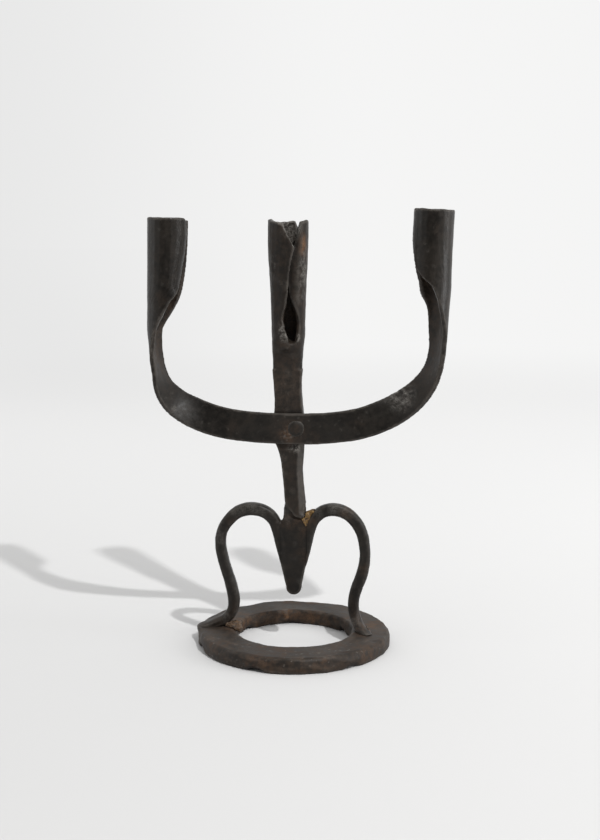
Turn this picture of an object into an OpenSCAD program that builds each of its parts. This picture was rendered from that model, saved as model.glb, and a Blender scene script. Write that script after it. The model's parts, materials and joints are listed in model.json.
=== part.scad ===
// Three-light candelabrum of hand-forged bar: a flat ring, two scroll legs that meet in a spade,
// a stem with a rolled socket, and a cross arm with a rolled socket at each end.
// X runs along the cross arm, Y points to the back, Z is up from the table.

/* [Candle sockets] */
// Bore that takes a taper candle
candle_d = 22; // [20:0.5:23]
// Wall of the rolled sheet
socket_wall = 2.8; // [2.4:0.1:3.2]
// How far down the side bores are true
side_depth = 42; // [30:1:44]
// How far down the middle bore is true
middle_depth = 30; // [24:1:32]
// Height of the left rim above the table
left_rim_z = 297; // [292:1:302]
// Height of the middle rim above the table
middle_rim_z = 295; // [290:1:300]
// Height of the right rim above the table
right_rim_z = 302; // [296:1:306]

/* [Base ring] */
// Outer diameter of the ring, side to side
ring_outer_d = 130; // [126:1:138]
// Inner diameter of the ring, side to side
ring_inner_d = 82.5; // [76:0.5:88]
// Height of the ring
ring_h = 10.5; // [8:0.5:12]

/* [Bars] */
// Front-to-back size of the scroll bars
bar_d = 8.5; // [7:0.5:10]
// Front-to-back size of the stem
stem_d = 9; // [8:0.5:10]
// Thickness of the cross arm
strap_t = 3; // [2.4:0.1:3.4]
// Height of the cross arm where it crosses the stem
strap_h = 21; // [18:0.5:24]

/* [Rivet] */
// Shank diameter of the arm rivet
rivet_d = 5; // [4:0.5:6]
// Diameter of the arm rivet's heads
rivet_head_d = 11.5; // [10:0.5:13]
// Height of the arm rivet's heads
rivet_head_h = 1.6; // [1.2:0.1:2.4]

/* [Hidden] */
$fn = 48;

iron = "#3a3532";
rusty_iron = "#4a3b32";
braze = "#9a6a34";

// The base stands a little left of the middle of the whole width
base_x = -4.5;
strap_y = -stem_d / 2 - strap_t / 2;
// The rolled sheet starts a little tight, so the candle bore leaves a true round wall
roll_r = candle_d / 2 + socket_wall / 2 - 0.2;
// Straight line that each socket's axis follows: its X at z = 280, and its lean outward
left_axis_x = -89.6;
left_lean = -1;
middle_axis_x = -7.6;
middle_axis_y = -3.5;
right_axis_x = 89.2;
right_lean = 2.5;
axis_z = 280;
rivet_x = -2;
rivet_z = 153.6;
lap_z = 99.5;

// ---------- Smooth lines through rows of numbers ----------

function held(rows, i) = rows[min(max(i, 0), len(rows) - 1)];

function between(a, b, c, d, t) =
    0.5 * (2 * b + (c - a) * t + (2 * a - 5 * b + 4 * c - d) * t * t + (3 * b - a - 3 * c + d) * t * t * t);

function smooth_rows(rows, steps) = [
    for (i = [0:len(rows) - 2])
        for (s = [0:steps - 1])
            between(held(rows, i - 1), rows[i], rows[i + 1], held(rows, i + 2), s / steps),
    rows[len(rows) - 1]
];

function place(row) = [row[0], row[1], row[2]];

function heading(rows, i) =
    let (step = place(held(rows, i + 1)) - place(held(rows, i - 1)))
    step / norm(step);

// ---------- Solids stretched over a run of outlines ----------

// Each outline has the same even number of points, the second half coming back along the first
module skin(outlines, closed = false) {
    n = len(outlines[0]);
    m = len(outlines);
    sides = [
        for (i = [0:(closed ? m - 1 : m - 2)])
            for (k = [0:n - 1])
                let (a = i * n + k, b = i * n + (k + 1) % n)
                let (c = ((i + 1) % m) * n + (k + 1) % n, d = ((i + 1) % m) * n + k)
                each [[a, c, b], [a, d, c]]
    ];
    first = (m - 1) * n;
    ends = [
        for (j = [0:n / 2 - 2])
            each [
                [j, j + 1, n - 1 - j], [j + 1, n - 2 - j, n - 1 - j],
                [first + j, first + n - 1 - j, first + j + 1],
                [first + j + 1, first + n - 1 - j, first + n - 2 - j]
            ]
    ];
    polyhedron(points = [for (o = outlines) each o], faces = closed ? sides : concat(sides, ends), convexity = 10);
}

// ---------- Sheet or flat bar that twists and rolls up as it goes ----------

// A row is [x, y, z, twist, curl, width, thickness]. The point is the middle of the sheet. Twist turns
// the width from the XZ plane (0) to the Y direction (90), and curl is the angle the width is rolled to.
sheet_cells = 22;

function sheet_point(p, out, across, a, curl, width, offset) =
    curl < 1
        ? p + a * across + offset * out
        : let (r = width / (curl * PI / 180), turn = a / width * curl)
          p - r * out + (r + offset) * (cos(turn) * out + sin(turn) * across);

function sheet_outline(rows, i) =
    let (row = rows[i], t = heading(rows, i), side = [t[2], 0, -t[0]])
    let (out = [0, cos(row[3]), 0] + sin(row[3]) * side, across = cos(row[3]) * side - [0, sin(row[3]), 0])
    [
        for (face = [1, -1])
            for (j = [0:sheet_cells])
                let (a = face * row[5] * (0.5 - j / sheet_cells))
                sheet_point(place(row), out, across, a, row[4], row[5], face * row[6] / 2)
    ];

module sheet(rows, steps) {
    run = smooth_rows(rows, steps);
    skin([for (i = [0:len(run) - 1]) sheet_outline(run, i)]);
}

function rolled_width(curl) = roll_r * curl * PI / 180;

// ---------- Solid bar with soft corners ----------

// A row is [x, y, z, size in the plane of the scroll, size across it]
bar_sides = 12;

function soft(v) = sign(v) * pow(abs(v), 0.62);

function bar_outline(rows, i) =
    let (row = rows[i], t = heading(rows, i), up = cross([0, 1, 0], t))
    let (u = up / norm(up), v = cross(t, u))
    [
        for (k = [0:bar_sides - 1])
            let (angle = 360 * (k + 0.5) / bar_sides)
            place(row) + row[3] / 2 * soft(cos(angle)) * u + row[4] / 2 * soft(sin(angle)) * v
    ];

module bar(rows, steps) {
    run = smooth_rows(rows, steps);
    skin([for (i = [0:len(run) - 1]) bar_outline(run, i)]);
}

// ---------- Base ring ----------

ring_in_r = ring_inner_d / 2;
ring_out_r = ring_outer_d / 2;
ring_edge = 2;
ring_stations = 72;
// The forging isn't quite round: it is a little longer towards the front right, it is drawn out where
// each foot is welded on, and its underside spreads outward
ring_out_swell = 0.06;
ring_in_swell = 0.042;
foot_swell = 1.6;
right_foot_turn = -2;
left_foot_turn = 166;
ring_spread = 1;
ring_y = -1;

// Corners of the ring's section, each rounded in two steps; x is the distance from the ring's middle
function ring_section(inner, outer) = [
    for (corner = [
        [outer + ring_spread - ring_edge, ring_edge, -90], [outer - ring_edge, ring_h - ring_edge, 0],
        [inner + ring_edge, ring_h - ring_edge, 90], [inner + ring_edge, ring_edge, 180]
    ])
        for (step = [0:2])
            [corner[0] + ring_edge * cos(corner[2] + 45 * step), corner[1] + ring_edge * sin(corner[2] + 45 * step)]
];

function foot_bulge(angle) = foot_swell * pow(max(cos(angle), 0), 12);

function ring_outer_r(angle) =
    ring_out_r * (1 + ring_out_swell * pow(sin(angle - 12), 2))
        + foot_bulge(angle - right_foot_turn) + foot_bulge(angle - left_foot_turn);

function ring_inner_r(angle) = ring_in_r * (1 + ring_in_swell * pow(sin(angle - 30), 2));

module base_ring() {
    color(rusty_iron)
        translate([base_x, ring_y, 0])
            skin([
                for (i = [0:ring_stations - 1])
                    let (angle = -360 * i / ring_stations)
                    [
                        for (p = ring_section(ring_inner_r(angle), ring_outer_r(angle)))
                            [p[0] * cos(angle), p[0] * sin(angle), p[1]]
                    ]
            ], closed = true);
}

// ---------- Scroll legs ----------

left_rows = [
    [-11, 0, 53, 2, 5], [-12, 0, 61, 5, bar_d - 1], [-13.6, 0, 71, 7, bar_d], [-15.6, 0, 80.5, 7.8, bar_d],
    [-18.7, 0, 88.4, 8.2, bar_d], [-25.2, 0, 93.8, 8.4, bar_d], [-34.6, 0, 95.5, 8.7, bar_d],
    [-43.4, 0, 93, 8.4, bar_d], [-50.2, 0, 86.8, 8, bar_d], [-54.6, 0, 79.4, 7.4, bar_d],
    [-56, 0, 71, 7.2, bar_d], [-54.6, 0, 61, 7.4, bar_d], [-51.8, 0, 51, 7.6, bar_d],
    [-48.8, 0, 41, 7.8, bar_d], [-46.8, 0, 31, 8, bar_d], [-47.6, 0, 22.5, 7.6, bar_d],
    [-52.4, 1, 15.8, 7, bar_d + 1.5], [-59, 1.5, 12.8, 6.4, bar_d + 3.5], [-65.5, 1, 11, 5.6, bar_d + 4.5],
    [-70, 0, 9.6, 5, bar_d + 4], [-72.4, -0.5, 8.8, 3.6, bar_d + 1.5]
];

right_rows = [
    [2.4, 0, 53, 2, 5], [3.4, 0, 61, 5, bar_d - 1], [4.8, 0, 71, 7, bar_d], [6.6, 0, 80.5, 7.8, bar_d],
    [9.8, 0, 88.6, 8.2, bar_d], [15.8, 0, 94.2, 8.4, bar_d], [24.2, 0, 95.9, 8.6, bar_d],
    [32.4, 0, 93.4, 8.4, bar_d], [39, 0, 87.4, 8, bar_d], [43.3, 0, 79.3, 7.6, bar_d],
    [45.2, 0, 70, 7.4, bar_d], [45.4, 0, 60, 7.5, bar_d], [43.4, 0, 50, 8, bar_d],
    [40.2, 0, 41, 8.1, bar_d], [37.8, 0, 32, 7.8, bar_d], [38, -0.5, 24, 7.6, bar_d],
    [40, -2.6, 17.4, 7.2, bar_d + 0.5], [42.8, -6.2, 13, 6.4, bar_d + 0.5], [46.2, -10.6, 11, 5, bar_d - 0.5],
    [49.4, -14.6, 9.8, 3.4, 5.5]
];

module left_scroll() {
    color(iron)
        difference() {
            bar(left_rows, 3);
            base_ring();
            spade();
        }
}

module right_scroll() {
    color(iron)
        difference() {
            bar(right_rows, 3);
            base_ring();
            spade();
        }
}

// ---------- Spade ----------

spade_front_y = -3.4;
spade_back_y = 4.4;

module spade() {
    shoulder_z = 90;
    tip_z = 35.2;
    tip_r = 5.2;
    color(rusty_iron) {
        // Wedge that the scrolls are welded to, with a round tip
        translate([0, spade_back_y, 0])
            rotate([90, 0, 0])
                linear_extrude(spade_back_y - spade_front_y)
                    union() {
                        polygon([
                            [-11.6, shoulder_z], [-13.4, 84], [-13.6, 70], [-13, 57],
                            [-9.3, 40.5], [0.9, 40.5], [4, 57], [5, 70], [5, 84], [3.4, shoulder_z]
                        ]);
                        translate([-4.2, tip_z + tip_r])
                            circle(r = tip_r);
                    }
        // Half-thickness neck that laps behind the foot of the stem
        translate([0, spade_back_y, 0])
            rotate([90, 0, 0])
                linear_extrude(spade_back_y)
                    polygon([[-10.6, lap_z], [-11.8, shoulder_z - 1], [3.4, shoulder_z - 1], [2.6, lap_z]]);
    }
}

// ---------- Stem with the middle socket ----------

// The bar is narrow above the spade and spread where the arm crosses it
stem_foot_rows = [
    [-0.6, 0, 90.6, 0, 0, 4.4, stem_d], [-0.3, 0, 92.4, 0, 0, 8, stem_d], [-0.6, 0, 96, 0, 0, 10, stem_d],
    [-2, 0, 99.2, 0, 0, 12.2, stem_d], [-3.3, 0, 102.6, 0, 0, 13.4, stem_d],
    [-4.1, 0, 111, 0, 0, 13.2, stem_d], [-5, 0, 123, 0, 0, 13.4, stem_d],
    [-5.4, 0, 133, 0, 0, 15.4, stem_d], [-6.2, 0, 141, 0, 0, 18, stem_d], [-7.4, 0, 148, 0, 0, 21.6, stem_d],
    [-7.5, 0, 157, 0, 0, 21.4, stem_d], [-7.5, 0, 166, 0, 0, 19, stem_d], [-7.9, 0, 175, 0, 0, 18, stem_d],
    [-8.4, 0, 184, 0, 0, 18.6, stem_d], [-8.4, 0, 194, 0, 0, 20.2, stem_d]
];

// Above that it swells, in rows [x, y, z, width, depth], to carry the rolled socket
stem_neck_rows = [
    [-8.4, 0, 190, 19.2, stem_d - 0.2], [-8.4, 0, 197, 20.4, stem_d + 1], [-8.3, -0.8, 203, 21.2, stem_d + 4],
    [-8, -2.2, 209, 21.8, stem_d + 8], [-7.8, -3.2, 214, 22, stem_d + 10.5]
];

// Rows [z, curl, twist, outer radius, thickness] of the hollow part, whose seam opens at its foot
// like a drop
middle_roll = [
    [208, 330, -22, 10.4, 3.6], [213, 330, -22, 11, 3.6], [217, 318, -21, 11.3, 3.4], [222, 306, -19, 11.4, 3],
    [228, 302, -18, 11.4, 2.8], [235, 312, -17, 11.6, 2.8],
    [243, 330, -15, 12, 2.6], [254, 346, -13, 12.4, 2.2], [265, 348, -16, 13.1, 2.2], [280, 346, -24, 13.7, 2.8],
    [middle_rim_z, 342, -30, 13.7, 2.8]
];

function middle_row(z, curl, twist, out_r, t) =
    let (r = out_r - t / 2)
    [
        middle_axis_x + r * sin(twist), middle_axis_y + r * cos(twist), z,
        twist, curl, r * curl * PI / 180, t
    ];

middle_rows = [for (r = middle_roll) middle_row(r[0], r[1], r[2], r[3], r[4])];

module candle_bore(x, y, rim_z, depth, lean) {
    translate([x, y, axis_z])
        rotate([0, lean, 0])
            translate([0, 0, rim_z - axis_z - depth])
                cylinder(d = candle_d, h = depth + 20);
}

module rivet_bore() {
    translate([rivet_x, 20, rivet_z])
        rotate([90, 0, 0])
            cylinder(d = rivet_d, h = 40);
}

module stem() {
    color(rusty_iron)
        difference() {
            union() {
                sheet(stem_foot_rows, 3);
                bar(stem_neck_rows, 3);
                sheet(middle_rows, 3);
            }
            candle_bore(middle_axis_x, middle_axis_y, middle_rim_z, middle_depth, 0);
            rivet_bore();
            // Scarf that lies on the neck of the spade
            translate([-30, 0, 80])
                cube([60, 20, lap_z - 80]);
        }
}

// ---------- Cross arm with the side sockets ----------

// Rows [z, curl] of the rolled ends
left_roll = [[left_rim_z, 344], [285, 338], [273, 316], [262, 290], [251, 266], [241, 234], [231, 182], [221, 128]];
right_roll = [[262, 280], [272, 308], [282, 338], [right_rim_z, 344]];

function axis_at(x, lean, z) = x + (z - axis_z) * tan(lean);

function left_row(z, curl) =
    [axis_at(left_axis_x, -left_lean, z) - roll_r, strap_y, z, 90, curl, rolled_width(curl), socket_wall];

function right_row(z, curl) =
    [axis_at(right_axis_x, right_lean, z) + roll_r, strap_y, z, 90, curl, rolled_width(curl), socket_wall];

// Rows [x, z, twist, curl, width] of the bar between the rolled ends, from left to right
strap_rows = [
    [-101.4, 211, 84, 80, 22], [-99.6, 201, 81, 36, strap_h], [-97, 191.4, 79, 12, strap_h],
    [-94.2, 182.6, 69, 0, strap_h], [-89.8, 175.8, 55, 0, strap_h], [-83.2, 169.4, 40, 0, strap_h],
    [-74, 164.2, 25, 0, strap_h], [-62, 159.4, 12, 0, strap_h], [-48, 156, 5, 0, strap_h],
    [-32, 154.2, 0, 0, strap_h], [-14, 153.4, 0, 0, strap_h], [4, 153.2, 0, 0, strap_h],
    [20, 154, 0, 0, strap_h], [35, 156, 3, 0, strap_h], [48, 159.4, 8, 0, strap_h],
    [60, 164.4, 18, 0, strap_h], [70, 170.2, 29, 0, strap_h], [79, 177.4, 42, 0, strap_h],
    [86, 185.6, 53, 0, strap_h], [90.8, 194.4, 61, 8, strap_h], [93.6, 203.4, 64, 24, strap_h],
    [95.4, 213, 64, 52, strap_h + 1], [96.8, 222.6, 63, 88, 25], [98.2, 232.4, 69, 130, 30],
    [99.4, 242, 77, 184, 40], [100.4, 252, 85, 238, 51]
];

arm_rows = concat(
    [for (r = left_roll) left_row(r[0], r[1])],
    [for (r = strap_rows) [r[0], strap_y, r[1], r[2], r[3], r[4], strap_t]],
    [for (r = right_roll) right_row(r[0], r[1])]
);

module cross_arm() {
    color(iron)
        difference() {
            sheet(arm_rows, 2);
            candle_bore(left_axis_x, strap_y, left_rim_z, side_depth, -left_lean);
            candle_bore(right_axis_x, strap_y, right_rim_z, side_depth, right_lean);
            rivet_bore();
        }
}

// ---------- Arm rivet ----------

module rivet_head(y, out) {
    head_r = (pow(rivet_head_d / 2, 2) + pow(rivet_head_h, 2)) / (2 * rivet_head_h);
    translate([rivet_x, y, rivet_z])
        rotate([-90 * out, 0, 0])
            intersection() {
                translate([0, 0, rivet_head_h - head_r])
                    sphere(r = head_r);
                cylinder(d = rivet_head_d, h = rivet_head_h);
            }
}

module arm_rivet() {
    front_y = -stem_d / 2 - strap_t;
    color(iron) {
        translate([rivet_x, stem_d / 2, rivet_z])
            rotate([90, 0, 0])
                cylinder(d = rivet_d, h = stem_d + strap_t);
        rivet_head(front_y, -1);
        rivet_head(stem_d / 2, 1);
    }
}

// ---------- Braze in the corners ----------

module blob(points, r) {
    hull()
        for (p = points)
            translate(p)
                sphere(r = r, $fn = 20);
}

module stem_braze() {
    color(braze)
        difference() {
            blob([[2.4, -1, 91], [9.4, -0.5, 93.4], [5, -1, 86]], 3.4);
            stem();
            spade();
            right_scroll();
        }
}

module left_foot_braze() {
    color(braze)
        difference() {
            blob([[-43.5, -2, 13.2], [-50.5, -3.5, 12], [-44, 1.5, 12], [-42, -7.5, 10.4]], 3);
            left_scroll();
            base_ring();
        }
}

module right_foot_braze() {
    color(braze)
        difference() {
            blob([[41, -1, 12], [46, -3.5, 11], [48, -7.5, 10.6]], 3);
            right_scroll();
            base_ring();
        }
}

base_ring();
left_scroll();
right_scroll();
spade();
stem();
cross_arm();
arm_rivet();
stem_braze();
left_foot_braze();
right_foot_braze();
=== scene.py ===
import json
import math

import bpy
import numpy as np
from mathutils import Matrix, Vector, noise


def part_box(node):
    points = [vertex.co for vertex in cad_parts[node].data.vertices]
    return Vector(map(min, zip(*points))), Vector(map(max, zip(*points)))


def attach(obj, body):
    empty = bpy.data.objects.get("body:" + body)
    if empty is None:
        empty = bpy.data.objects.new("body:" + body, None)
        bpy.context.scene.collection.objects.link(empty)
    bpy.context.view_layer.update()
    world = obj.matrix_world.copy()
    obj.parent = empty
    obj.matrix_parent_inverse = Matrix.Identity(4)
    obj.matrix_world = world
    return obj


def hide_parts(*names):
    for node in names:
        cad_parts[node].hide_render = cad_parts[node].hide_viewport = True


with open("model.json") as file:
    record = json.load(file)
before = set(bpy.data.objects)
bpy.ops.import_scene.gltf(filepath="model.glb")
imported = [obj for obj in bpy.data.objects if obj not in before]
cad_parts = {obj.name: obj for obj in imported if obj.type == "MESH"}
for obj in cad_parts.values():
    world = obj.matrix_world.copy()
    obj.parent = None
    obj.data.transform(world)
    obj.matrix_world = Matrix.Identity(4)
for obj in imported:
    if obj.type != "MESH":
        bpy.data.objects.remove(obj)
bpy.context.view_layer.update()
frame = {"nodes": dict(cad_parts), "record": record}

# Hand-forged iron candelabrum. Every piece starts from its CAD node's own surface, remeshed fine
# enough to carry hammer marks, ragged rims and pits, and then worked in code.
# Points are in millimetres in the CAD frame until made() writes them to a mesh. Masks are one
# number for each point, from 0 to 1, and become mesh attributes that the materials read.
# Places of marks are in the same frame, as a middle and a reach, or as heights and widths.

MM = 0.001
mounts = {mount["name"]: mount for mount in frame["record"]["mounts"]}


# ---------- Meshes ----------

WELD_DISTANCE = 1e-6
SMOOTH_STEP, PUSH_BACK = 0.5, -0.52


def joined(nodes):
    """One mesh with the CAD surfaces of these nodes."""
    points, faces = [], []
    for n in nodes:
        mesh = frame["nodes"][n].data
        start = len(points)
        points += [v.co[:] for v in mesh.vertices]
        faces += [[start + i for i in p.vertices] for p in mesh.polygons]
    out = bpy.data.meshes.new("joined")
    out.from_pydata(points, [], faces)
    out.update()
    return out


def remeshed(nodes, voxel_mm):
    """Points and quads of the nodes' outer skin, on an even grid."""
    source = bpy.data.objects.new("source", joined(nodes))
    bpy.context.scene.collection.objects.link(source)
    weld = source.modifiers.new("weld", "WELD")
    weld.merge_threshold = WELD_DISTANCE
    grid = source.modifiers.new("grid", "REMESH")
    grid.mode = "VOXEL"
    grid.voxel_size = voxel_mm * MM
    bpy.context.view_layer.update()
    worked = source.evaluated_get(bpy.context.evaluated_depsgraph_get())
    mesh = bpy.data.meshes.new_from_object(worked)
    points = np.empty(len(mesh.vertices) * 3)
    mesh.vertices.foreach_get("co", points)
    # A triangle is kept as a quad with its last corner twice
    corners = [tuple(p.vertices) for p in mesh.polygons]
    quads = np.array([c if len(c) == 4 else (*c, c[2]) for c in corners])
    bpy.data.objects.remove(source)
    bpy.data.meshes.remove(mesh)
    return largest_part(points.reshape(-1, 3) / MM, quads)


def edges_of(quads):
    """Each edge once, as two point numbers, the lower one first."""
    pairs = np.concatenate([quads[:, [0, 1]], quads[:, [1, 2]], quads[:, [2, 3]], quads[:, [3, 0]]])
    pairs = pairs[pairs[:, 0] != pairs[:, 1]]
    return np.unique(np.sort(pairs, axis=1), axis=0)


def largest_part(points, quads):
    """Drops anything loose inside the main skin."""
    edges = edges_of(quads)
    label = np.arange(len(points))
    while True:
        low = np.minimum(label[edges[:, 0]], label[edges[:, 1]])
        new = label.copy()
        np.minimum.at(new, edges[:, 0], low)
        np.minimum.at(new, edges[:, 1], low)
        new = new[new]
        if (new == label).all():
            break
        label = new
    names, counts = np.unique(label, return_counts=True)
    keep = label == names[counts.argmax()]
    index = np.cumsum(keep) - 1
    return points[keep], index[quads[keep[quads].all(axis=1)]]


def relaxed(points, quads, rounds, keep_size=True):
    """Even smoothing. With keep_size every second step pushes back out."""
    steps = (SMOOTH_STEP, PUSH_BACK) if keep_size else (SMOOTH_STEP,)
    edges = edges_of(quads)
    count = np.bincount(edges.ravel(), minlength=len(points))[:, None]
    p = points.copy()
    for _ in range(rounds):
        for step in steps:
            total = np.zeros_like(p)
            for axis in range(3):
                total[:, axis] = np.bincount(edges[:, 0], p[edges[:, 1], axis], len(p))
                total[:, axis] += np.bincount(edges[:, 1], p[edges[:, 0], axis], len(p))
            p = p + step * (total / count - p)
    return p


def smoothed_at(points, quads, rounds, where):
    """Smoothing that shrinks, blended in by a mask."""
    smooth = relaxed(points, quads, rounds, keep_size=False)
    return points + (smooth - points) * np.clip(where, 0, 1)[:, None]


def normals_of(points, quads):
    """Unit normals at the points, weighted by the faces' areas."""
    a, b, c, d = (points[quads[:, i]] for i in range(4))
    face = np.cross(c - a, d - b)
    n = np.zeros_like(points)
    for i in range(4):
        for axis in range(3):
            n[:, axis] += np.bincount(quads[:, i], face[:, axis], len(points))
    return n / np.maximum(np.linalg.norm(n, axis=1, keepdims=True), 1e-9)


def ramp(v, low, high):
    """0 below low, 1 above high, smooth between."""
    t = np.clip((v - low) / (high - low), 0, 1)
    return t * t * (3 - 2 * t)


def bump_at(v, middle, reach):
    """1 at the middle, smoothly 0 at the reach."""
    return ramp(-np.abs(v - middle), -reach, 0)


def near(p, centre, reach):
    """1 at a point, smoothly 0 at the reach; reach is a number, or one for each axis."""
    return ramp(-np.linalg.norm((p - np.array(centre)) / np.array(reach), axis=1), -1, 0)


def patches(p, places):
    """Round patches added up: [strength, middle, reach]."""
    return sum(strength * near(p, middle, reach) for strength, middle, reach in places)


def soft_noise(p, size_mm, seed):
    """Smooth noise from about -1 to 1, with features of this size."""
    offset = Vector((seed * 7.3, seed * 3.1, seed * 5.7))
    return np.array([noise.noise(Vector(v) / size_mm + offset) for v in p])


def hammered(p, size_mm, seed):
    """Shallow dents with ridges between them: -1 in the middle of a dent, up to about 0.5."""
    offset = Vector((seed * 4.1, seed * 9.3, seed * 2.7))
    d = np.array([noise.voronoi(Vector(v) / size_mm + offset)[0][0] for v in p])
    return np.clip(d * 2.2, 0, 1.5) - 1


def forged(p, n, seed, dents=0.16, dent_size=8, waves=0.25, wave_size=24, pits=0.05):
    """The surface of hammered iron: dents, long waves and fine pits, as heights in mm."""
    d = dents * (hammered(p, dent_size, seed) + 0.25)
    d += waves * soft_noise(p, wave_size, seed + 11)
    d += pits * soft_noise(p, 1.9, seed + 23)
    return p + n * (d + 0.12)[:, None]


def edge_height(points, quads):
    """How far the surface stands out from its smoothed self, in mm; below 0 in creases."""
    flat = relaxed(points, quads, 14, keep_size=False)
    return ((points - flat) * normals_of(points, quads)).sum(axis=1)


def polar(p, axis_x, axis_y):
    """Distance from a vertical axis, and the angle round it: 0 to +X, 90 to +Y, from -180 to 180."""
    x, y = p[:, 0] - axis_x, p[:, 1] - axis_y
    return np.hypot(x, y), np.degrees(np.arctan2(y, x))


def turn_from(angle, middle):
    """Angle away from a middle, from -180 to 180."""
    return (angle - middle + 180) % 360 - 180


# ---------- Materials ----------

# Linear colours. A pair is the dark and the light side of a mottled colour.
BLACK_SCALE = ((0.0060, 0.0050, 0.0040), (0.0120, 0.0101, 0.0080))
BROWN_SCALE = ((0.0082, 0.0068, 0.0055), (0.0168, 0.0137, 0.0110))
BROWN_FILM = (0.027, 0.0190, 0.0136)
RUST = ((0.040, 0.024, 0.015), (0.150, 0.077, 0.038))
# Worn edges, and also painted light
WORN_EDGE_AND_LIGHT = (0.066, 0.058, 0.050)
# Pale dust and scratches, and also painted highlights
PALE_DUST_AND_HIGHLIGHT = (0.205, 0.192, 0.174)
HEAT_ORANGE = (0.460, 0.220, 0.095)
# Painted shade: the dark of creases and hollows
CREASE_SHADE = (0.0055, 0.0045, 0.0038)
PIT_BLACK = (0.006, 0.005, 0.0042)
BRAZE_TAN = ((0.022, 0.015, 0.010), (0.100, 0.056, 0.030))
BRAZE_GOLD = ((0.034, 0.018, 0.009), (0.180, 0.100, 0.024))
BRAZE_CREST_TAN = (0.15, 0.090, 0.050)
BRAZE_CREST_GOLD = (0.320, 0.210, 0.075)
BRAZE_FLECK = (0.40, 0.36, 0.30)
BRAZE_SHADE = (0.016, 0.010, 0.007)

# Specular level of the forge scale: lower than bare iron's, because the scale is dull
SCALE_SPECULAR = 0.22
BRAZE_METALLIC = 0.2


class Nodes:
    """Short words for shader nodes."""

    def __init__(self, name):
        self.material = bpy.data.materials.new(name)
        self.material.use_nodes = True
        self.tree = self.material.node_tree
        self.shader = self.tree.nodes["Principled BSDF"]
        self.place = self.add("ShaderNodeTexCoord").outputs["Object"]

    def add(self, kind, **settings):
        node = self.tree.nodes.new(kind)
        for key, value in settings.items():
            setattr(node, key, value)
        return node

    def link(self, source, socket):
        """Joins a node's output to a socket, or sets the socket to a number or a colour."""
        if isinstance(source, (int, float)):
            socket.default_value = source
        elif isinstance(source, tuple):
            socket.default_value = source if len(source) == 4 else (*source, 1)
        else:
            self.tree.links.new(source, socket)

    def noise(self, scale, detail=4, roughness=0.55):
        node = self.add("ShaderNodeTexNoise")
        node.inputs["Scale"].default_value = scale
        node.inputs["Detail"].default_value = detail
        node.inputs["Roughness"].default_value = roughness
        self.link(self.place, node.inputs["Vector"])
        return node.outputs["Fac"]

    def cells(self, scale):
        node = self.add("ShaderNodeTexVoronoi")
        node.inputs["Scale"].default_value = scale
        self.link(self.place, node.inputs["Vector"])
        return node.outputs["Distance"]

    def ranged(self, value, low, high, to_low=0.0, to_high=1.0):
        """A smooth step of the value from low to high."""
        node = self.add("ShaderNodeMapRange", interpolation_type="SMOOTHSTEP")
        self.link(value, node.inputs["Value"])
        limits = (("From Min", low), ("From Max", high), ("To Min", to_low), ("To Max", to_high))
        for key, number in limits:
            node.inputs[key].default_value = number
        return node.outputs[0]

    def math(self, operation, a, b):
        """ADD, SUBTRACT or MULTIPLY, held between 0 and 1."""
        node = self.add("ShaderNodeMath", operation=operation, use_clamp=True)
        self.link(a, node.inputs[0])
        self.link(b, node.inputs[1])
        return node.outputs[0]

    def times(self, a, b):
        return self.math("MULTIPLY", a, b)

    def plus(self, a, b):
        return self.math("ADD", a, b)

    def minus(self, a, b):
        return self.math("SUBTRACT", a, b)

    def mix(self, amount, a, b):
        node = self.add("ShaderNodeMix", data_type="RGBA")
        self.link(amount, node.inputs["Factor"])
        self.link(a, node.inputs[6])
        self.link(b, node.inputs[7])
        return node.outputs[2]

    def mask(self, name):
        node = self.add("ShaderNodeAttribute", attribute_name=name)
        return node.outputs["Fac"]

    def bump(self, height, distance_mm, strength, normal=None):
        node = self.add("ShaderNodeBump")
        node.inputs["Strength"].default_value = strength
        node.inputs["Distance"].default_value = distance_mm * MM
        self.link(height, node.inputs["Height"])
        if normal is not None:
            self.link(normal, node.inputs["Normal"])
        return node.outputs[0]


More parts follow.
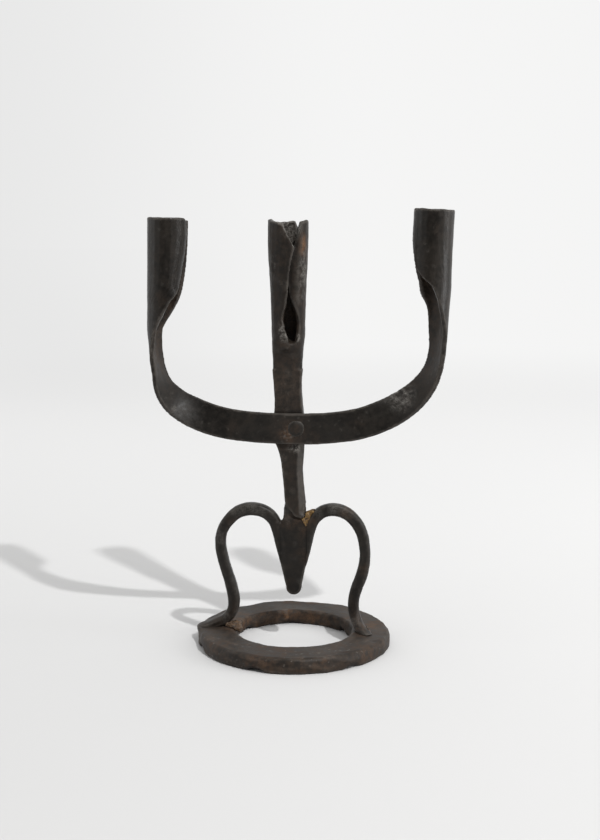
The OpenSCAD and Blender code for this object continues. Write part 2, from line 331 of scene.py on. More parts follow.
def iron_material(name):
    """Forge scale, from black to browned as the tone mask says, worn paler on the edges, with painted
    light, painted highlights and painted shade where the masks say.
    """
    m = Nodes(name)
    broad = m.noise(38, 5, 0.6)
    mottle = m.noise(210, 6, 0.65)
    fine = m.noise(1100, 5, 0.7)
    grain = m.noise(2600, 3, 0.6)
    pits = m.cells(620)
    browned = m.mask("tone")

    blotch = m.ranged(m.plus(m.times(broad, 0.55), m.times(mottle, 0.45)), 0.38, 0.62)
    colour = m.mix(browned, m.mix(blotch, *BLACK_SCALE), m.mix(blotch, *BROWN_SCALE))
    # A thin brown film nearly everywhere, and rust where its mask says
    film = m.times(m.ranged(mottle, 0.42, 0.66), m.ranged(browned, 0, 1, 0.12, 0.2))
    colour = m.mix(film, colour, BROWN_FILM)
    broken = m.plus(m.times(m.ranged(fine, 0.34, 0.62), 0.55), 0.45)
    rust = m.times(m.mask("rust"), broken)
    colour = m.mix(rust, colour, m.mix(m.ranged(mottle, 0.35, 0.65), *RUST))
    # Worn edges with painted light in places, then dusty and scratched places and painted highlights
    worn_and_lit = m.times(m.mask("wear_and_painted_light"), m.ranged(mottle, 0.3, 0.65, 0.45, 1))
    colour = m.mix(m.times(worn_and_lit, 0.7), colour, WORN_EDGE_AND_LIGHT)
    pale = m.times(m.mask("pale"), m.ranged(fine, 0.38, 0.6, 0.1, 1))
    colour = m.mix(m.times(pale, 0.9), colour, PALE_DUST_AND_HIGHLIGHT)
    # Orange, where heat has bared and rusted the iron
    heated = m.times(m.mask("heat"), m.ranged(mottle, 0.36, 0.56, 0.2, 1))
    colour = m.mix(heated, colour, HEAT_ORANGE)
    # Painted shade in the creases, and soot in the pits
    colour = m.mix(m.times(m.mask("painted_shade"), 0.7), colour, CREASE_SHADE)
    pit = m.times(m.ranged(pits, 0.05, 0.22, 1, 0), m.ranged(mottle, 0.5, 0.6))
    colour = m.mix(m.times(pit, 0.6), colour, PIT_BLACK)
    m.link(colour, m.shader.inputs["Base Color"])

    rough = m.ranged(mottle, 0.36, 0.64, 0.37, 0.48)
    rough = m.plus(rough, m.times(browned, 0.08))
    rough = m.plus(rough, m.times(rust, 0.35))
    rough = m.minus(rough, m.times(m.mask("gloss"), 0.12))
    m.link(rough, m.shader.inputs["Roughness"])
    m.shader.inputs["Specular IOR Level"].default_value = SCALE_SPECULAR
    m.shader.inputs["Metallic"].default_value = 0.0

    normal = m.bump(broad, 0.5, 0.25)
    normal = m.bump(m.minus(mottle, m.times(pit, 0.35)), 0.3, 0.22, normal)
    normal = m.bump(fine, 0.10, 0.3, normal)
    normal = m.bump(grain, 0.04, 0.35, normal)
    m.link(normal, m.shader.inputs["Normal"])
    return m.material


def braze_material(name):
    """Brass run into the corners: tan or gold as the tone mask says, painted brown in its hollows as
    painted shade.
    """
    m = Nodes(name)
    mottle = m.noise(420, 6, 0.7)
    fine = m.noise(1500, 4, 0.6)
    golden = m.mask("tone")
    lump = m.ranged(mottle, 0.36, 0.64)
    colour = m.mix(golden, m.mix(lump, *BRAZE_TAN), m.mix(lump, *BRAZE_GOLD))
    crest = m.mix(golden, BRAZE_CREST_TAN, BRAZE_CREST_GOLD)
    colour = m.mix(m.times(m.mask("wear_and_painted_light"), 0.5), colour, crest)
    colour = m.mix(m.times(m.ranged(fine, 0.58, 0.68), 0.4), colour, BRAZE_FLECK)
    # Painted shade in the braze's hollows
    colour = m.mix(m.times(m.mask("painted_shade"), 0.6), colour, BRAZE_SHADE)
    m.link(colour, m.shader.inputs["Base Color"])
    m.link(m.ranged(fine, 0.3, 0.7, 0.42, 0.7), m.shader.inputs["Roughness"])
    m.shader.inputs["Metallic"].default_value = BRAZE_METALLIC
    normal = m.bump(mottle, 0.4, 0.5)
    m.link(m.bump(fine, 0.12, 0.5, normal), m.shader.inputs["Normal"])
    return m.material


# The two irons share one shader; which of them a piece gets says which CAD slot it fills
materials = {
    "black_iron": iron_material("black_iron"),
    "rusted_iron": iron_material("rusted_iron"),
    "braze": braze_material("braze"),
}


# ---------- Pieces ----------

# Edge heights in mm at which wear starts and is full, and the same for the painted shade of a crease
WEAR_AT = (0.10, 0.32)
SHADE_AT = (0.12, 0.5)
MASKS = ("wear_and_painted_light", "painted_shade", "rust", "pale", "heat", "tone", "gloss")


def made(name, points, quads, nodes, slot, masks, wear_at=WEAR_AT, normals=None):
    """The finished piece, riding on the one body, standing for its CAD nodes."""
    low = np.min([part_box(n)[0] for n in nodes], axis=0) / MM
    high = np.max([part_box(n)[1] for n in nodes], axis=0) / MM
    height = edge_height(points, quads)
    points = np.clip(points, low, high)
    mesh = bpy.data.meshes.new(name)
    faces = [tuple(q) if q[2] != q[3] else tuple(q[:3]) for q in quads.tolist()]
    mesh.from_pydata((points * MM).tolist(), [], faces)
    mesh.polygons.foreach_set("use_smooth", [True] * len(faces))
    given = dict(masks)
    given["wear_and_painted_light"] = np.maximum(ramp(height, *wear_at), given.get("wear_and_painted_light", 0))
    # Creases are painted dark, as painted shade
    given["painted_shade"] = np.maximum(ramp(-height, *SHADE_AT), given.get("painted_shade", 0))
    given.setdefault("tone", 1.0 if slot == "rusted_iron" else 0.0)
    for key in MASKS:
        values = np.broadcast_to(np.asarray(given.get(key, 0.0), dtype=float), (len(points),))
        layer = mesh.attributes.new(key, "FLOAT", "POINT")
        layer.data.foreach_set("value", np.clip(values, 0, 1).astype(np.float32))
    mesh.update()
    if normals is not None:
        mesh.normals_split_custom_set_from_vertices(normals.tolist())
    mesh.materials.append(materials[slot])
    piece = bpy.data.objects.new(name, mesh)
    bpy.context.scene.collection.objects.link(piece)
    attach(piece, "root")
    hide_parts(*nodes)
    return piece


# --- Base ring: a flat bar bent round and hammered

RING_MIDDLE = (-4.5, -1)
RING_MID_R = 58
SCARF_ANGLE = 101
# The hammer's streaks are this many times longer than they are wide
STREAK_STRETCH = 4.5
# Hollows under the edge, clear of the table, and painted dark there as painted shade: [angle, half width,
# lift, on the outer side]
RING_HOLLOWS = [
    (-158, 10, 4.4, True), (-107, 10, 2.4, True), (-50, 9, 2.2, True),
    (37, 10, 2.8, False), (100, 16, 1.4, False), (145, 11, 2.6, False),
]
# Rust at the back, left of the back and under the right foot
RING_RUST = [
    (0.45, (-6, 66, 9), (34, 14, 9)), (0.30, (-44, 20, 10), (16, 20, 8)),
    (0.45, (51, 8, 10), (13, 16, 8)),
]
LEFT_FOOT_CORNER = ((-69, 0, 9), (10, 11, 9))
LEFT_FOOT_HEAT = ((-43, -6, 11), (13, 13, 9))
FRONT_SCUFF = ((-24, -62, 4), (20, 10, 6))


def base_ring():
    p, q = remeshed(["base_ring"], 0.8)
    p = relaxed(p, q, 3)
    p = relaxed(p, q, 11, keep_size=False)
    n = normals_of(p, q)
    r, angle = polar(p, *RING_MIDDLE)
    # Streaks run along the bar, so their noise is taken on the unrolled ring, cut opposite the scarf
    along = np.radians(turn_from(angle, SCARF_ANGLE - 180)) * RING_MID_R / STREAK_STRETCH
    unrolled = np.c_[along, r, p[:, 2]]
    streaks = 0.42 * soft_noise(unrolled, 3.8, 32) + 0.18 * soft_noise(unrolled, 1.6, 33)
    p = forged(p, n, 1, dents=0.45, dent_size=11, waves=0.5, wave_size=24, pits=0.07)
    p += n * (0.45 + streaks)[:, None]
    top = ramp(n[:, 2], 0.4, 0.9)
    # The top's outer edge is hammered down in places
    corner = near(p, *LEFT_FOOT_CORNER)
    soft_edge = ramp(r, 59, 67) * ramp(p[:, 2], 5, 10.5) * (1 - corner)
    p[:, 2] -= soft_edge * (0.6 + 0.6 * soft_noise(p, 14, 5))
    # Under the left foot the corner is drawn out and up to meet it
    p += corner[:, None] * (-1.6, 0, 1.6)
    # The lifted underside of each hollow is painted dark, as painted shade in the gap under it
    gap_shade = np.zeros(len(p))
    for middle, half, lift, outer in RING_HOLLOWS:
        side = ramp(r, 46, 58) if outer else ramp(-r, -62, -48)
        under = ramp(-p[:, 2], -6, -0.2) * side * bump_at(turn_from(angle, middle), 0, half)
        p[:, 2] += lift * under
        gap_shade += 1.3 * under
    # Scarf of the ring's own weld, a raised lip across the back of the hole
    scarf = bump_at(turn_from(angle, SCARF_ANGLE), 0, 7) * ramp(-r, -50, -42)
    p += n * (0.9 * scarf * (0.4 + 0.6 * soft_noise(p, 4, 31)))[:, None]

    foot_heat = near(p, *LEFT_FOOT_HEAT)
    rust = 0.13 + patches(p, RING_RUST) + 0.75 * scarf + 0.5 * foot_heat
    rust += 0.25 * ramp(angle, 20, 60) * ramp(-r, -47, -41)
    rust += 0.18 * ramp(soft_noise(p, 15, 41), 0.0, 0.6) + 0.12 * ramp(streaks, 0, 0.3)
    wear_and_painted_light = 0.20 * top * (0.6 + 0.4 * ramp(soft_noise(p, 12, 43), -0.1, 0.6))
    wear_and_painted_light += 0.36 * ramp(streaks, 0.02, 0.32) + 0.04
    pale = 0.3 * near(p, *FRONT_SCUFF) * ramp(soft_noise(p, 3, 44), 0.1, 0.5)
    pale += 0.5 * scarf * ramp(soft_noise(p, 3, 45), 0, 0.5)
    pale += 0.5 * ramp(soft_noise(p, 1.7, 47), 0.52, 0.66) * ramp(-p[:, 1], 10, 40)
    pale += 0.5 * foot_heat * ramp(soft_noise(p, 2.4, 48), 0.1, 0.4)
    masks = {
        "rust": rust,
        "heat": 0.7 * foot_heat * ramp(soft_noise(p, 3, 49), -0.2, 0.3) + 0.35 * scarf,
        "wear_and_painted_light": wear_and_painted_light,
        "pale": pale,
        "painted_shade": gap_shade,
    }
    made("base_ring_forged", p, q, ["base_ring"], "rusted_iron", masks, (0.12, 0.45))


# --- Scroll legs and spade: forge-welded, so they share one skin, cut into the three pieces afterwards

# Where the welds are smoothed into one skin: [strength, middle, reach]
SHOULDERS = [(1, (-12.5, 0, 84), 13), (1, (4, 0, 84), 13)]
NECK = [(1.6, (-4.3, -3, 90), (12, 9, 8))]
# The spade's edges: x of the left and of the right one at these heights
SPADE_Z = [34, 40, 57, 70, 84, 90]
SPADE_LEFT = [-9, -9.3, -13, -13.6, -13.4, -11.6]
SPADE_RIGHT = [1, 0.9, 4, 5, 5, 3.4]
# At the left foot, and on both sides of the neck
LEG_RUST = [
    (0.4, (-44, -2, 14), (7, 8, 6)), (0.25, (4, -3, 90), 12), (0.18, (-8, -3, 88), 9),
]
LEG_HEAT = [(0.7, (-44, -3, 14), (7, 8, 6)), (0.25, (5, -3, 88), (6, 6, 6))]


def leg_masks(p):
    z = p[:, 2]
    return {
        "rust": 0.08 * ramp(-z, -42, -18) + 0.16 * ramp(soft_noise(p, 15, 51), 0.1, 0.6)
        + patches(p, LEG_RUST),
        "heat": patches(p, LEG_HEAT),
        "tone": 0.3 + 0.7 * ramp(z, 80, 90) * ramp(-np.abs(p[:, 0] + 4), -14, -7),
        # Painted light: the neck's front, recessed and in shade, is painted lighter
        "wear_and_painted_light": 0.35 * near(p, (-8, -3, 94), (8, 8, 8)),
        "pale": 0.25 * ramp(z, 88, 96) * ramp(soft_noise(p, 6, 52), -0.2, 0.5)
        + 0.2 * ramp(soft_noise(p, 7, 53), 0.2, 0.7),
    }


def spade_side(p):
    """Which of the three pieces a point of the shared skin belongs to: -1, 0 or 1."""
    x, z = p[:, 0], p[:, 2]
    left_edge = np.interp(z, SPADE_Z, SPADE_LEFT)
    right_edge = np.interp(z, SPADE_Z, SPADE_RIGHT)
    in_spade = (x > left_edge - 0.2) & (x < right_edge + 0.2) & (z > 34) & (z < 91)
    neck = (z >= 89) & (x > -11.5) & (x < 3.2)
    return np.where(in_spade | neck, 0, np.where(x < -4, -1, 1))


def legs_and_spade():
    p, q = remeshed(["left_scroll", "spade", "right_scroll"], 0.6)
    p = relaxed(p, q, 3)
    p = smoothed_at(p, q, 16, patches(p, SHOULDERS))
    # The neck is drawn forward into the face of the spade
    facing = ramp(-normals_of(p, q)[:, 1], 0.3, 0.8)
    p[:, 1] -= 2.2 * facing * ramp(p[:, 2], 89, 91) * ramp(-np.abs(p[:, 0] + 4.3), -10, -8)
    p = smoothed_at(p, q, 60, patches(p, NECK))
    n = normals_of(p, q)
    p = forged(p, n, 2, dents=0.14, dent_size=6, waves=0.18, wave_size=22, pits=0.05)
    # The left foot's end is let down onto the ring
    p[:, 2] -= ramp(-p[:, 0], 56, 69) * (0.8 + 1.8 * ramp(-n[:, 2], -0.2, 0.5))

    masks = leg_masks(p)
    side_of = spade_side(p[q].mean(axis=1))
    # The whole skin's normals, so that no line shows where it is cut
    whole_normals = normals_of(p, q)
    for which, name, node, slot in (
        (-1, "left_scroll_forged", "left_scroll", "black_iron"),
        (0, "spade_forged", "spade", "rusted_iron"),
        (1, "right_scroll_forged", "right_scroll", "black_iron"),
    ):
        faces = q[side_of == which]
        used = np.unique(faces)
        index = np.full(len(p), -1)
        index[used] = np.arange(len(used))
        own_masks = {key: values[used] for key, values in masks.items()}
        made(name, p[used], index[faces], [node], slot, own_masks, normals=whole_normals[used])


# --- Stem with the rolled middle socket

SOCKET_X, SOCKET_Y = (v / MM for v in mounts["middle_candle"]["pos_m"][:2])
# Above this height the stem is a socket, and its points are moved round the socket's axis
SOCKET_FROM = 214
# The lower stem's right edge, heights and x; the front corner there is hammered to a flat
EDGE_Z = [91, 93, 100, 111, 123, 133, 141, 148]
EDGE_X = [1.2, 3, 3.2, 2.4, 1.7, 2.3, 2.7, 3]
STEM_FRONT_Y = -4.5
# How far from the corner the flat starts, on the front and on the side
FLAT_REACH = 3.4
# The seam in the sheet: heights and turns
SEAM_Z = [208, 217, 228, 243, 254, 265, 280, 295]
SEAM_TURN = [22, 21, 18, 15, 13, 16, 24, 30]
# Rim: [turn, height]. A peak at the left, a long cut down to the seam, a notch in the back wall
RIM_SHAPE = [
    (-180, 293.6), (-150, 293.4), (-120, 294.6), (-90, 296.0), (-60, 294.4), (-18, 292.6), (-12, 291.4),
    (2, 285), (17, 278.6), (24, 277), (31, 276.5), (44, 287), (52, 292.4), (60, 293.2), (90, 293.5),
    (120, 293.4), (142, 293.2), (148, 290), (153, 287.6), (158, 290.4), (163, 293.3), (180, 293.6),
]
# The sheet between these heights is stretched or shortened to reach the rim's shape
RIM_BASE, RIM_TOP = 262, 295
TORN_SCALE = [(1, (-9, -14, 221), (7, 8, 11)), (1, (-1, -14, 216), (5, 8, 5))]
SEAM_NICK = ((-9.6, -16.5, 253), (2.2, 6, 3.4))
# Rust round the orange patch at the socket's right, and at the rivet
STEM_RUST = [(1, (3.6, -12, 278), (4.6, 8, 11)), (0.3, (-7, -5, 147), (7, 6, 9))]
SOCKET_HEAT = ((3.2, -12, 280), (3.2, 8, 7.5))
# Height and reach of the lighter middle of the stem, and of the painted shadow along the cross arm's
# upper edge
MID_STEM = (184, 26)
ARM_SHADOW = (164.5, 2)
MID_STEM_SCUFF = ((-8, -6, 184), (6, 6, 14))
RIGHT_SIDE_SCUFF = ((5.5, -13, 258), (7, 11, 28))
LEFT_SIDE_SCUFF = ((-16, -12, 266), (5, 8, 14))
UNDER_ARM_SCUFF = ((-2, -5, 139.6), (9, 6, 4.5))


def hammered_corner(p):
    """Moves the lower stem's right front corner in to a flat, and says how far each point was over it."""
    edge = np.interp(p[:, 2], EDGE_Z, EDGE_X)
    over = (p[:, 0] - edge + FLAT_REACH) - (p[:, 1] - STEM_FRONT_Y)
    over = np.maximum(over, 0) * ramp(p[:, 2], 91, 95) * ramp(-p[:, 2], -147, -140)
    p[:, 0] -= over / 2
    p[:, 1] += over / 2
    return over


def rolled_socket(p):
    """Shapes the seam of the middle socket. Turn is 0 at the front and 90 at the right side."""
    z = p[:, 2]
    r = np.hypot(p[:, 0] - SOCKET_X, p[:, 1] - SOCKET_Y)
    turn = np.degrees(np.arctan2(p[:, 0] - SOCKET_X, SOCKET_Y - p[:, 1]))
    upper = ramp(z, 222, 248)
    past = turn - np.interp(z, SEAM_Z, SEAM_TURN)
    # The right edge of the sheet tucks in behind the left one
    r -= 2.5 * upper * ramp(past, 0, 3) * ramp(-past, -32, -13)
    turn -= 17 * upper * ramp(past, 0, 3) * ramp(-past, -46, -12)
    turn -= 6 * bump_at(z, 229, 11) * ramp(-past, 0, 3) * ramp(past, -60, -30)
    # Edges of the seam are torn a little
    torn = ramp(-np.abs(past), -34, -8) * ramp(z, SOCKET_FROM, 222)
    level = p * (0, 0, 1)
    turn += torn * (1.6 * soft_noise(level, 4.5, 63) + 0.8 * soft_noise(level, 1.7, 64)) * np.sign(past)
    p[:, 0] = np.where(z > SOCKET_FROM, SOCKET_X + r * np.sin(np.radians(turn)), p[:, 0])
    p[:, 1] = np.where(z > SOCKET_FROM, SOCKET_Y - r * np.cos(np.radians(turn)), p[:, 1])
    return turn, past


def stem():
    p, q = remeshed(["stem"], 0.6)
    p = relaxed(p, q, 3)
    n = normals_of(p, q)
    # The bar spreads into the sheet without a step
    p = smoothed_at(p, q, 50, ramp(-np.abs(p[:, 2] - 206), -13, -5))
    p = forged(p, n, 3, dents=0.16, dent_size=7, waves=0.16, wave_size=20, pits=0.06)
    over = hammered_corner(p)
    turn, past = rolled_socket(p)
    rim = np.interp(turn, [t for t, h in RIM_SHAPE], [h for t, h in RIM_SHAPE])
    rim += 0.5 * soft_noise(p * (1, 1, 0), 2.6, 65)
    above = np.maximum(p[:, 2] - RIM_BASE, 0)
    p[:, 2] += above * ((rim - RIM_BASE) / (RIM_TOP - RIM_BASE) - 1)
    # Torn scale under the seam
    scale_patch = np.clip(patches(p, TORN_SCALE) * 1.6, 0, 1)
    nick = near(p, *SEAM_NICK)
    n = normals_of(p, q)
    rough = 0.7 * soft_noise(p, 2.6, 66) + 0.4 * soft_noise(p, 1.2, 67)
    p += n * (scale_patch * rough - 0.8 * nick)[:, None]

    z = p[:, 2]
    outside = ramp((n * (p - (SOCKET_X, SOCKET_Y, 0)) * (1, 1, 0)).sum(axis=1), -2, 2)
    inside = ramp(z, 212, 222) * (1 - outside)
    cut_edge = ramp(z - rim, -1.5, -0.4) * ramp(-np.abs(turn - 14), -46, -30)
    cut_edge *= ramp(soft_noise(p, 2.4, 60), -0.3, 0.3)
    # The tucked-in edge keeps its smooth scale, and is painted dark as the painted shadow of the flap
    # over it
    band = ramp(-np.abs(past - 3), -19, -15) * ramp(z, 222, 228) * ramp(-z, -284, -276) * (past > 0)
    mid_stem = bump_at(z, *MID_STEM)
    rust = 0.05 + 0.05 * ramp(soft_noise(p, 13, 61), 0, 0.6) + 0.07 * mid_stem
    rust += patches(p, STEM_RUST) + 0.18 * inside * ramp(-z, -272, -262)
    pale = 0.10 * ramp(soft_noise(p, 7, 62), 0.15, 0.6)
    pale += 0.25 * near(p, *MID_STEM_SCUFF) * ramp(soft_noise(p * (1, 1, 0.5), 1.5, 59), 0.2, 0.5)
    pale += 0.12 * inside + 0.7 * scale_patch * ramp(soft_noise(p, 2, 68), -0.3, 0.3)
    right_scuff = near(p, *RIGHT_SIDE_SCUFF) * ramp(soft_noise(p * (1, 1, 0.6), 2, 69), -0.3, 0.35)
    pale += 1.1 * right_scuff * outside * (1 - band)
    pale += 0.75 * ramp(z, 270, 280) * (1 - outside) * ramp(soft_noise(p, 1.8, 70), -0.4, 0.2)
    pale += 0.4 * near(p, *LEFT_SIDE_SCUFF) * ramp(soft_noise(p, 2.2, 71), 0, 0.4)
    pale += near(p, *UNDER_ARM_SCUFF) * ramp(soft_noise(p, 1.6, 72), -0.4, 0.1)
    pale += 0.7 * cut_edge
    masks = {
        "rust": rust,
        "heat": np.clip(2.2 * near(p, *SOCKET_HEAT), 0, 1) * outside,
        # The hammered flat is painted lighter, as worn iron and as a painted highlight where the light
        # from the right catches it
        "wear_and_painted_light": 0.9 * np.clip(over, 0, 1) + 0.22 * mid_stem,
        "pale": pale,
        # Painted shade: a dark strip under the cross arm's upper edge, in the nick and on the tucked-in
        # band
        "painted_shade": 0.8 * bump_at(z, *ARM_SHADOW) * ramp(-p[:, 1], 2, 4) + 0.8 * nick + 0.65 * band,
        "gloss": 0.6 * ramp(z, 205, 220) * outside,
    }
    made("stem_forged", p, q, ["stem"], "rusted_iron", masks)


# --- Cross arm with the rolled side sockets

ARM_Y = mounts["left_candle"]["pos_m"][1] / MM
# Front flaps. Stretch: heights, and how far the sheet reaches round there, 1 as in CAD. Squash: heights,
# and how wide the flap's free edge is there, 1 as in CAD
LEFT_STRETCH = (
    [212, 221, 241, 246, 251, 262, 273, 285, 292],
    [1, 0.92, 0.92, 1.05, 1.2, 1.16, 1.08, 1.02, 1],
)
LEFT_SQUASH = ([243, 251, 262, 273, 284], [1, 0.7, 0.8, 0.93, 1])
RIGHT_STRETCH = ([226, 230, 236, 244, 252, 258, 266], [1, 0.98, 0.93, 0.83, 0.78, 0.9, 1])
NO_SQUASH = ([0, 1], [1, 1])
RIGHT_BEND_SCALE = ((68.5, -8, 178.5), (14, 14, 16))
# Painted highlight on the front of the left bend
LEFT_BEND_HIGHLIGHT = ((-86, -9, 166.5), (3, 9, 4.4))
RIVET_SCUFF = ((-8, -8, 149), (7, 6, 8))
# Left corner of the right rim, seen from above
KNOCKED_CORNER = ((77, -10, 0), 9)
# Beside the rivet
ARM_RUST = [(0.45, (-7.6, -8, 150), (8, 6, 9)), (0.15, (-4, -8, 152), (14, 6, 14))]


def axis_at(mount, z):
    """x of a leaning socket's axis at these heights."""
    x0, _, z0 = (v / MM for v in mounts[mount]["pos_m"])
    lean = mounts[mount]["axis"][0] / mounts[mount]["axis"][2]
    return x0 + (z - z0) * lean


def wrapped(p, axis_x, seam_side, stretch, squash):
    """Moves the front flap round its socket. Turn is 0 at the closed side and 90 at the front."""
    u = seam_side * (p[:, 0] - axis_x)
    v = p[:, 1] - ARM_Y
    turn = np.degrees(np.arctan2(-v, -u))
    front = turn > 0
    stretched = np.where(front, np.minimum(turn * np.interp(p[:, 2], *stretch), 177), turn)
    r = np.hypot(u, v)
    u = -r * np.cos(np.radians(stretched))
    v = -r * np.sin(np.radians(stretched))
    narrow = np.interp(p[:, 2], *squash)
    u = np.where(front & (u > 0), u * (1 + (narrow - 1) * ramp(stretched, 85, 140)), u)
    out = p.copy()
    out[:, 0] = axis_x + seam_side * u
    out[:, 1] = ARM_Y + v
    return out


def cross_arm():
    p, q = remeshed(["cross_arm"], 0.65)
    p = relaxed(p, q, 3)
    n = normals_of(p, q)
    p = forged(p, n, 4, dents=0.12, dent_size=9, waves=0.22, wave_size=26, pits=0.04)
    left_axis = axis_at("left_candle", p[:, 2])
    right_axis = axis_at("right_candle", p[:, 2])
    left_moved = wrapped(p, left_axis, 1, LEFT_STRETCH, LEFT_SQUASH)
    right_moved = wrapped(p, right_axis, -1, RIGHT_STRETCH, NO_SQUASH)
    on_left = (p[:, 0] < -70) & (p[:, 2] > 212)
    on_right = (p[:, 0] > 70) & (p[:, 2] > 226)
    p = np.where(on_left[:, None], left_moved, p)
    p = np.where(on_right[:, None], right_moved, p)
    # The right socket's back flap spreads wider where it opens
    spread = ramp(right_axis - p[:, 0], 1, 9) * ramp(p[:, 1], -8, -5) * bump_at(p[:, 2], 241, 14)
    p[:, 0] -= 3.8 * spread * (p[:, 0] > 60)
    # Rims: the left one steps down at its back flap, the right one is knocked down at its left corner
    left_part = (p[:, 0] < 0) & (p[:, 2] > 280)
    right_part = (p[:, 0] > 0) & (p[:, 2] > 285)
    step = 1.8 * ramp(p[:, 0], -81.5, -80.3) * ramp(p[:, 1], -12, -9)
    dip = 0.5 * (0.6 + soft_noise(p * (1, 1, 0), 7, 73))
    p[:, 2] -= left_part * (step + dip) * ramp(p[:, 2], 280, 297)
    knocked = 1.2 * near(p * (1, 1, 0), *KNOCKED_CORNER)
    p[:, 2] -= right_part * (knocked + dip) * ramp(p[:, 2], 285, 302)
    n = normals_of(p, q)
    rough_patch = np.clip(1.5 * near(p, *RIGHT_BEND_SCALE), 0, 1)
    p += n * (rough_patch * (0.4 * soft_noise(p, 3, 74) + 0.3 * soft_noise(p, 1.4, 75)))[:, None]

    x, y, z = p.T
    axis = np.where(x < 0, left_axis, right_axis)
    inward = -(n[:, 0] * (x - axis) + n[:, 1] * (y - ARM_Y))
    inside = ramp(inward, -7, 3) * (0.6 * ramp(z, 176, 204) + 0.4 * ramp(z, 210, 240))
    pale = 0.7 * rough_patch * ramp(soft_noise(p, 2.5, 77), -0.6, 0.5)
    # Painted highlight on the left bend
    pale += 0.5 * near(p, *LEFT_BEND_HIGHLIGHT)
    pale += 0.4 * near(p, *RIVET_SCUFF) * ramp(soft_noise(p, 2, 78), -0.1, 0.4)
    pale += 0.12 * ramp(soft_noise(p, 3, 79), 0.4, 0.7)
    masks = {
        "rust": 0.18 * inside + patches(p, ARM_RUST) + 0.04 * ramp(soft_noise(p, 14, 76), 0.1, 0.6),
        "wear_and_painted_light": 0.32 * inside,
        "pale": pale,
        "gloss": ramp(z, 205, 225),
        # Browned where it crosses the stem and up the bends
        "tone": 0.9 * ramp(-np.abs(x + 6), -17, -9) * ramp(-z, -172, -165)
        + 0.6 * ramp(np.abs(x + 4), 62, 80),
    }
    made("cross_arm_forged", p, q, ["cross_arm"], "black_iron", masks)


# --- Rivet with two flattened heads

def arm_rivet():
    p, q = remeshed(["arm_rivet"], 0.3)
    p = relaxed(p, q, 3)
    n = normals_of(p, q)
    p = forged(p, n, 5, dents=0.18, dent_size=3.4, waves=0.15, wave_size=6, pits=0.05)
    middle = np.mean(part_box("arm_rivet"), axis=0) / MM
    from_axis = np.hypot(p[:, 0] - middle[0], p[:, 2] - middle[2])
    masks = {
        "tone": 0.9, "rust": 0.1 * ramp(-from_axis, -4.5, -2), "pale": 0.2 * ramp(from_axis, 4.3, 5.4),
    }
    made("arm_rivet_forged", p, q, ["arm_rivet"], "black_iron", masks, (0.05, 0.2))


# --- Braze in the three corners: [name, node, how golden, how far it has sunk in mm]

BRAZES = [
    ("stem_braze_run", "stem_braze", 1.0, 0.6),
    ("left_foot_braze_run", "left_foot_braze", 0.1, 0.8),
    ("right_foot_braze_run", "right_foot_braze", 0.0, 0.7),
]


def brazes():
    for seed, (name, node, golden, sunk) in enumerate(BRAZES):
        p, q = remeshed([node], 0.3)
        p = relaxed(relaxed(p, q, 4), q, 12, keep_size=False)
        n = normals_of(p, q)
        lumps = 0.6 * soft_noise(p, 2.6, 80 + seed) + 0.2 * soft_noise(p, 1.1, 90 + seed)
        p += n * (lumps - sunk)[:, None]
        made(name, p, q, [node], "braze", {"tone": golden}, (0.08, 0.35))


base_ring()
legs_and_spade()
stem()
cross_arm()
arm_rivet()
brazes()


# ---------- Floor, light and camera ----------

BACKDROP_LEFT = (0.800, 0.800, 0.798, 1)
BACKDROP_RIGHT = (0.912, 0.912, 0.909, 1)
# Across the view, from where to where the backdrop turns from its left to its right tone
BACKDROP_FROM, BACKDROP_TO = -0.36, -0.02
FLOOR_RADIUS = 12
FLOOR_CORNERS = 96
# Painted shade: the floor's paper is darker near the camera: y in metres where the change starts and ends
PAPER_FROM, PAPER_TO = -0.55, 1.2
PAPER_NEAR = (0.548, 0.546, 0.544)
PAPER_FAR = (0.820, 0.819, 0.817)
# Distances in metres between which the floor turns into the backdrop
BLEND_FROM, BLEND_TO = 0.6, 2.3
FLAG_HALF_WIDTH, FLAG_FOOT, FLAG_HEIGHT, FLAG_Y = 1.3, 0.02, 1.7, -1.75
FLAG_BLACK = (0.03, 0.03, 0.03, 1)
# [name, shape, width and height in metres, watts, place, target]
LAMPS = [
    ("key", "DISK", (0.06, None), 22, (0.700, -0.992, 1.450), (0, 0, 0.1)),
    ("left_softbox", "RECTANGLE", (0.5, 0.8), 1.5, (-1.35, -0.1, 0.45), (0, 0, 0.2)),
    ("right_softbox", "RECTANGLE", (0.5, 0.8), 6.5, (1.35, -0.1, 0.45), (0, 0, 0.2)),
]
# The camera, as found from the photo's perspective: place in metres, angle from straight down, turn
CAMERA_PLACE = (0.0803, -0.9175, 0.297)
CAMERA_TILT, CAMERA_TURN = 81.45, 5
CAMERA_LENS, CAMERA_SENSOR = 57.86, 36


def side_to_side(m, place):
    """Backdrop colour, a little darker at the left."""
    across = m.add("ShaderNodeSeparateXYZ")
    m.link(place, across.inputs[0])
    return m.mix(m.ranged(across.outputs["X"], BACKDROP_FROM, BACKDROP_TO), BACKDROP_LEFT, BACKDROP_RIGHT)


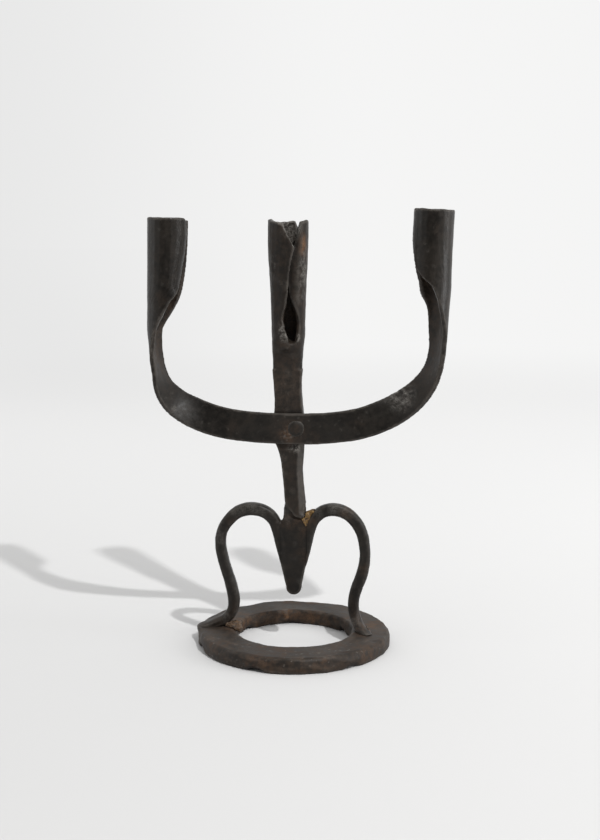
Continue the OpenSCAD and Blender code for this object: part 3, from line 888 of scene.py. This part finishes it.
def plain_floor():
    """A round sheet of paper that turns into the backdrop's glow with the distance."""
    mesh = bpy.data.meshes.new("floor")
    angles = np.linspace(0, 2 * math.pi, FLOOR_CORNERS, endpoint=False)
    rim = [(FLOOR_RADIUS * math.cos(t), FLOOR_RADIUS * math.sin(t), 0) for t in angles]
    mesh.from_pydata(rim, [], [range(FLOOR_CORNERS)])
    floor = bpy.data.objects.new("floor", mesh)
    bpy.context.scene.collection.objects.link(floor)
    m = Nodes("floor_paper")
    along = m.add("ShaderNodeSeparateXYZ")
    m.link(m.place, along.inputs[0])
    paper = m.mix(m.ranged(along.outputs["Y"], PAPER_FROM, PAPER_TO), PAPER_NEAR, PAPER_FAR)
    m.link(paper, m.shader.inputs["Base Color"])
    m.shader.inputs["Roughness"].default_value = 1
    m.shader.inputs["Specular IOR Level"].default_value = 0
    away = m.add("ShaderNodeVectorMath", operation="LENGTH")
    m.link(m.place, away.inputs[0])
    level = m.add("ShaderNodeVectorMath", operation="NORMALIZE")
    m.link(m.place, level.inputs[0])
    glow = m.add("ShaderNodeEmission")
    m.link(side_to_side(m, level.outputs[0]), glow.inputs["Color"])
    blend = m.add("ShaderNodeMixShader")
    m.link(m.ranged(away.outputs["Value"], BLEND_FROM, BLEND_TO), blend.inputs["Fac"])
    m.link(m.shader.outputs[0], blend.inputs[1])
    m.link(glow.outputs[0], blend.inputs[2])
    m.link(blend.outputs[0], m.tree.nodes["Material Output"].inputs["Surface"])
    mesh.materials.append(m.material)


def dark_flag():
    """Black card behind the camera, as a dark room is; it isn't seen and casts no shadow."""
    mesh = bpy.data.meshes.new("dark_flag")
    corners = [
        (-FLAG_HALF_WIDTH, FLAG_Y, FLAG_FOOT), (FLAG_HALF_WIDTH, FLAG_Y, FLAG_FOOT),
        (FLAG_HALF_WIDTH, FLAG_Y, FLAG_HEIGHT), (-FLAG_HALF_WIDTH, FLAG_Y, FLAG_HEIGHT),
    ]
    mesh.from_pydata(corners, [], [(0, 1, 2, 3)])
    flag = bpy.data.objects.new("dark_flag", mesh)
    bpy.context.scene.collection.objects.link(flag)
    m = Nodes("flag_cloth")
    m.shader.inputs["Base Color"].default_value = FLAG_BLACK
    mesh.materials.append(m.material)
    flag.visible_camera = False
    flag.visible_shadow = False


class WorldNodes(Nodes):
    """The same short words for the world's nodes."""

    def __init__(self, world):
        self.tree = world.node_tree
        self.place = self.add("ShaderNodeTexCoord").outputs["Generated"]


def lamp_at(name, shape, size, energy, place, target):
    data = bpy.data.lights.new(name, "AREA")
    data.shape = shape
    width, height = size
    data.size = width
    if height:
        data.size_y = height
    data.energy = energy
    lamp = bpy.data.objects.new(name, data)
    lamp.location = place
    lamp.rotation_euler = (Vector(target) - lamp.location).to_track_quat("-Z", "Y").to_euler()
    lamp.visible_camera = False
    bpy.context.scene.collection.objects.link(lamp)


def studio_light():
    world = bpy.data.worlds.new("studio")
    bpy.context.scene.world = world
    world.use_nodes = True
    m = WorldNodes(world)
    sky = world.node_tree.nodes["Background"]
    m.link(side_to_side(m, m.place), sky.inputs["Color"])
    sky.inputs["Strength"].default_value = 1
    for lamp in LAMPS:
        lamp_at(*lamp)


def photo_camera():
    data = bpy.data.cameras.new("camera")
    data.sensor_width = CAMERA_SENSOR
    data.sensor_height = CAMERA_SENSOR
    data.lens = CAMERA_LENS
    camera = bpy.data.objects.new("camera", data)
    camera.location = CAMERA_PLACE
    camera.rotation_euler = (math.radians(CAMERA_TILT), 0, math.radians(CAMERA_TURN))
    bpy.context.scene.collection.objects.link(camera)
    bpy.context.scene.camera = camera


plain_floor()
dark_flag()
studio_light()
photo_camera()
bpy.context.scene.view_settings.view_transform = "Standard"
bpy.context.scene.view_settings.look = "None"
